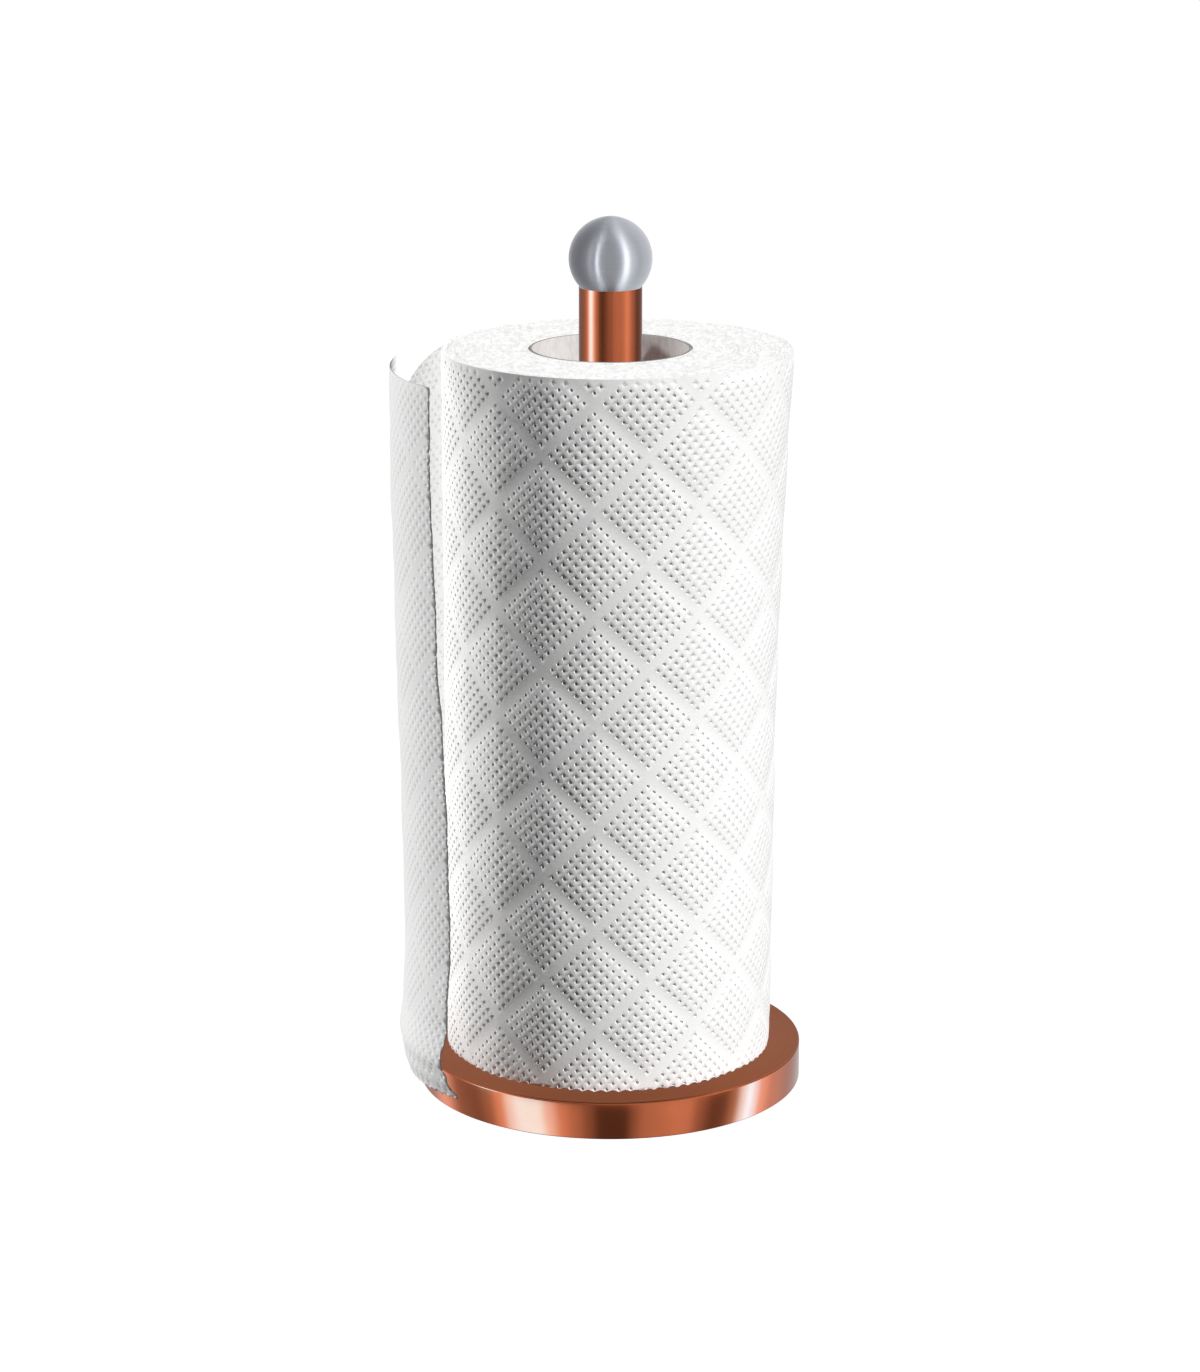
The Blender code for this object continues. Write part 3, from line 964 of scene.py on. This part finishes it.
def sun(name, setting, receivers, blockers=None):
    """A soft distant light that only the receivers take, and only the blockers keep off, if given."""
    azimuth, elevation, strength, spread = setting
    light = bpy.data.lights.new(name, "SUN")
    light.energy = strength
    light.angle = math.radians(spread)
    obj = bpy.data.objects.new(name, light)
    bpy.context.scene.collection.objects.link(obj)
    a = math.radians(azimuth)
    e = math.radians(elevation)
    towards = Vector((math.sin(a) * math.cos(e), -math.cos(a) * math.cos(e), math.sin(e)))
    obj.rotation_mode = "QUATERNION"
    obj.rotation_quaternion = towards.to_track_quat("Z", "Y")
    obj.visible_glossy = False
    obj.light_linking.receiver_collection = receivers
    if blockers:
        obj.light_linking.blocker_collection = blockers


def flag():
    """A dark screen that keeps the key light off the roll's left side, with a soft edge."""
    bm = bmesh.new()
    bmesh.ops.create_grid(bm, x_segments=1, y_segments=1, size=0.5)
    bmesh.ops.scale(bm, vec=(FLAG_WIDTH, FLAG_HEIGHT, 1.0), verts=bm.verts)
    upright = Matrix.Rotation(math.pi / 2, 3, "X")
    bmesh.ops.rotate(bm, cent=(0.0, 0.0, 0.0), matrix=upright, verts=bm.verts)
    left = Vector((-FLAG_EDGE - FLAG_WIDTH / 2, -FLAG_DISTANCE, FLAG_HEIGHT / 2))
    bmesh.ops.translate(bm, vec=left, verts=bm.verts)
    turn = Matrix.Rotation(math.radians(KEY_AZIMUTH), 3, "Z")
    bmesh.ops.rotate(bm, cent=(0.0, 0.0, 0.0), matrix=turn, verts=bm.verts)
    return stage_object("flag", mesh_of(bm, "flag"), camera=False, glossy=False, shadow=True)


def group(name, objects):
    """A collection of these objects, for light linking."""
    made = bpy.data.collections.new(name)
    for obj in objects:
        made.objects.link(obj)
    return made


def studio():
    """Reflectors, floor, backdrop and lights."""
    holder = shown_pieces()
    paper = [p for p in holder if p.name in ("wound_towel", "loose_end", "card_core")]
    for piece in holder:
        if piece in paper or piece.name == "pole":
            piece.visible_glossy = False
    every_piece = group("lit_pieces", holder)
    ball_alone = group("mirrors_ball_cards", [p for p in holder if p.name == "ball"])
    metal = [p for p in holder if p.name != "ball" and p not in paper]
    copper_parts = group("mirrors_cards", metal)
    key_blockers = group("key_blockers", [*paper, flag()])
    roll_alone = group("rim_blockers", [p for p in paper if p.name != "loose_end"])
    reflector("low_reflector", WALL_RADIUS, LOW_FOOT, MIDDLE_FOOT, LOW_ROW, copper_parts)
    reflector("middle_reflector", WALL_RADIUS, MIDDLE_FOOT, MIDDLE_TOP, MIDDLE_ROW, copper_parts)
    reflector("high_reflector", WALL_RADIUS, MIDDLE_TOP, HIGH_TOP, HIGH_ROW, copper_parts)
    reflector(
        "ball_reflector",
        BALL_WALL_RADIUS,
        BALL_FOOT,
        BALL_TOP,
        BALL_ROW,
        ball_alone,
        color=plain_color,
        capped=True,
    )
    pale_floor()
    backdrop()
    sun("key_light", KEY_LIGHT, every_piece, key_blockers)
    sun("rim_light", RIM_LIGHT, every_piece, roll_alone)
    sheet = group("lit_sheet", [p for p in paper if p.name == "loose_end"])
    sun("sheet_light", SHEET_LIGHT, sheet)
    sun("back_light", BACK_LIGHT, every_piece, roll_alone)
    world = bpy.data.worlds.new("soft_fill")
    world.use_nodes = True
    fill = world.node_tree.nodes["Background"]
    fill.inputs["Color"].default_value = WHITE
    fill.inputs["Strength"].default_value = FILL_STRENGTH
    bpy.context.scene.world = world
    bpy.context.scene.view_settings.view_transform = "Standard"
    bpy.context.scene.view_settings.look = "None"


CAMERA_DISTANCE = 1.2614
CAMERA_HEIGHT = 0.4774
CAMERA_PITCH = math.radians(15.3)
CAMERA_YAW = math.radians(0.15)
CAMERA_LENS = 106.3
CAMERA_SENSOR = 36.0
CAMERA_REACH = 100.0


def camera():
    data = bpy.data.cameras.new("camera")
    data.lens = CAMERA_LENS
    data.sensor_width = CAMERA_SENSOR
    data.clip_end = CAMERA_REACH
    obj = bpy.data.objects.new("camera", data)
    bpy.context.scene.collection.objects.link(obj)
    obj.location = (0.0, -CAMERA_DISTANCE, CAMERA_HEIGHT)
    obj.rotation_euler = (math.pi / 2 - CAMERA_PITCH, 0.0, CAMERA_YAW)
    bpy.context.scene.camera = obj


copper = polished_copper()
satin = satin_copper()
steel = brushed_steel()
card = grey_card()
card_ends = cut_card()
towel = towel_paper()
towel_ends = towel_edge()
towel_back_shaded = towel_inside_shaded()

camera()
base_disc()
pole()
ball()
card_core()
wound_towel()
loose_end()

zinc = zinc_steel()
hardware = {
    "base_weight": cast_iron(),
    "foot_pad": black_rubber(),
    "pole_screw": zinc,
    "lock_washer": zinc,
    "flat_washer": zinc,
    "lower_plug": zinc,
    "upper_plug": zinc,
    "ball_stud": zinc,
    "ball_boss": zinc,
}
for node, made in hardware.items():
    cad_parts[node].material_slots[0].material = made

studio()
